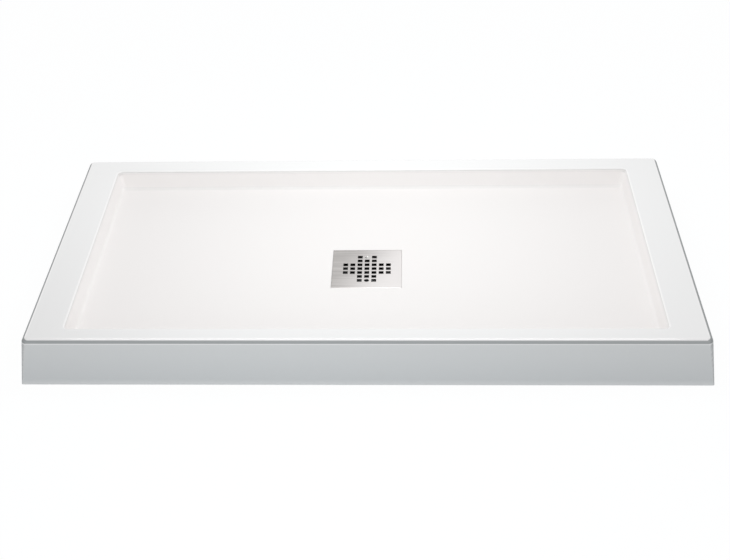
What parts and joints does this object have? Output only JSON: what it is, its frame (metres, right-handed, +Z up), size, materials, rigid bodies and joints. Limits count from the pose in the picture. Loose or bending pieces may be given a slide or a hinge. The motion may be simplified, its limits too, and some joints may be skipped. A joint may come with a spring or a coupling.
{
  "type": "shower tray",
  "caption": "Low rectangular shower tray with a flat rim, leaning apron, shallow coved basin falling to a square drain cover, and screw levelling feet below.",
  "frame": {"origin": "on the floor under the middle of the tray", "axes": "+X along the long side, -Y towards the open front, +Z up"},
  "size_m": [1.3716, 0.762, 0.1016],
  "materials": {
    "gloss_acrylic": "gloss white sanitary acrylic",
    "glass_fibre": "sprayed glass-fibre laminate, rough",
    "resin_filler": "cast resin filler",
    "plywood": "sanded birch plywood",
    "softwood": "planed softwood",
    "brushed_stainless": "brushed in one direction",
    "polished_stainless": "bright",
    "blackened_stainless": "black oxide finish",
    "black_abs": "moulded ABS",
    "seal_rubber": "black moulded rubber",
    "fibre_card": "pressed fibre washer",
    "zinc_steel": "zinc plated",
    "pad_rubber": "moulded polypropylene"
  },
  "bodies": {
    "tray": {"acrylic_shell": "gloss_acrylic", "back_rail": "softwood", "base_board": "plywood", "compression_nut": "black_abs", "drain_body": "black_abs", "drain_lock_nut": "black_abs", "flange_seal": "seal_rubber", "floor_bedding": "resin_filler", "friction_washer": "fibre_card", "front_rail": "softwood", "glass_fibre_backing": "glass_fibre", "left_rail": "softwood", "leg_lock_nuts": "zinc_steel", "leg_socket_back_left": "zinc_steel", "leg_socket_back_middle": "zinc_steel", "leg_socket_back_right": "zinc_steel", "leg_socket_front_left": "zinc_steel", "leg_socket_front_middle": "zinc_steel", "leg_socket_front_right": "zinc_steel", "pipe_gasket": "seal_rubber", "right_rail": "softwood", "sealing_washer": "seal_rubber", "socket_screws": "zinc_steel"},
    "cover": {"drain_cover": "brushed_stainless"},
    "screw_front": {"cover_screw_front": "blackened_stainless"},
    "screw_back": {"cover_screw_back": "polished_stainless"},
    "pad_front_left": {"foot_pad_front_left": "pad_rubber"},
    "stem_front_left": {"foot_stem_front_left": "zinc_steel"},
    "pad_front_middle": {"foot_pad_front_middle": "pad_rubber"},
    "stem_front_middle": {"foot_stem_front_middle": "zinc_steel"},
    "pad_front_right": {"foot_pad_front_right": "pad_rubber"},
    "stem_front_right": {"foot_stem_front_right": "zinc_steel"},
    "pad_back_left": {"foot_pad_back_left": "pad_rubber"},
    "stem_back_left": {"foot_stem_back_left": "zinc_steel"},
    "pad_back_middle": {"foot_pad_back_middle": "pad_rubber"},
    "stem_back_middle": {"foot_stem_back_middle": "zinc_steel"},
    "pad_back_right": {"foot_pad_back_right": "pad_rubber"},
    "stem_back_right": {"foot_stem_back_right": "zinc_steel"}
  },
  "joints": [
    {"name": "cover_lift", "type": "slide", "parent": "tray", "child": "cover", "axis": [0, 0, 1], "range_m": [0, 0.06]},
    {"name": "screw_front_out", "type": "slide", "parent": "cover", "child": "screw_front", "axis": [0, 0, 1], "range_m": [0, 0.012]},
    {"name": "screw_back_out", "type": "slide", "parent": "cover", "child": "screw_back", "axis": [0, 0, 1], "range_m": [0, 0.012]},
    {"name": "foot_front_left_travel", "type": "slide", "parent": "tray", "child": "pad_front_left", "axis": [0, 0, 1], "range_m": [-0.01, 0]},
    {"name": "foot_front_left_turn", "type": "hinge", "parent": "pad_front_left", "child": "stem_front_left", "pos_m": [-0.5, -0.245, 0], "axis": [0, 0, 1], "range_deg": [-2401, 1]},
    {"name": "foot_front_middle_travel", "type": "slide", "parent": "tray", "child": "pad_front_middle", "axis": [0, 0, 1], "range_m": [-0.01, 0]},
    {"name": "foot_front_middle_turn", "type": "hinge", "parent": "pad_front_middle", "child": "stem_front_middle", "pos_m": [0, -0.245, 0], "axis": [0, 0, 1], "range_deg": [-2401, 1]},
    {"name": "foot_front_right_travel", "type": "slide", "parent": "tray", "child": "pad_front_right", "axis": [0, 0, 1], "range_m": [-0.01, 0]},
    {"name": "foot_front_right_turn", "type": "hinge", "parent": "pad_front_right", "child": "stem_front_right", "pos_m": [0.5, -0.245, 0], "axis": [0, 0, 1], "range_deg": [-2401, 1]},
    {"name": "foot_back_left_travel", "type": "slide", "parent": "tray", "child": "pad_back_left", "axis": [0, 0, 1], "range_m": [-0.01, 0]},
    {"name": "foot_back_left_turn", "type": "hinge", "parent": "pad_back_left", "child": "stem_back_left", "pos_m": [-0.5, 0.245, 0], "axis": [0, 0, 1], "range_deg": [-2401, 1]},
    {"name": "foot_back_middle_travel", "type": "slide", "parent": "tray", "child": "pad_back_middle", "axis": [0, 0, 1], "range_m": [-0.01, 0]},
    {"name": "foot_back_middle_turn", "type": "hinge", "parent": "pad_back_middle", "child": "stem_back_middle", "pos_m": [0, 0.245, 0], "axis": [0, 0, 1], "range_deg": [-2401, 1]},
    {"name": "foot_back_right_travel", "type": "slide", "parent": "tray", "child": "pad_back_right", "axis": [0, 0, 1], "range_m": [-0.01, 0]},
    {"name": "foot_back_right_turn", "type": "hinge", "parent": "pad_back_right", "child": "stem_back_right", "pos_m": [0.5, 0.245, 0], "axis": [0, 0, 1], "range_deg": [-2401, 1]}
  ],
  "couplings": [
    {"joint": "foot_front_left_turn", "follows": "foot_front_left_travel", "rad_per_m": 4188.8},
    {"joint": "foot_front_middle_turn", "follows": "foot_front_middle_travel", "rad_per_m": 4188.8},
    {"joint": "foot_front_right_turn", "follows": "foot_front_right_travel", "rad_per_m": 4188.8},
    {"joint": "foot_back_left_turn", "follows": "foot_back_left_travel", "rad_per_m": 4188.8},
    {"joint": "foot_back_middle_turn", "follows": "foot_back_middle_travel", "rad_per_m": 4188.8},
    {"joint": "foot_back_right_turn", "follows": "foot_back_right_travel", "rad_per_m": 4188.8}
  ]
}
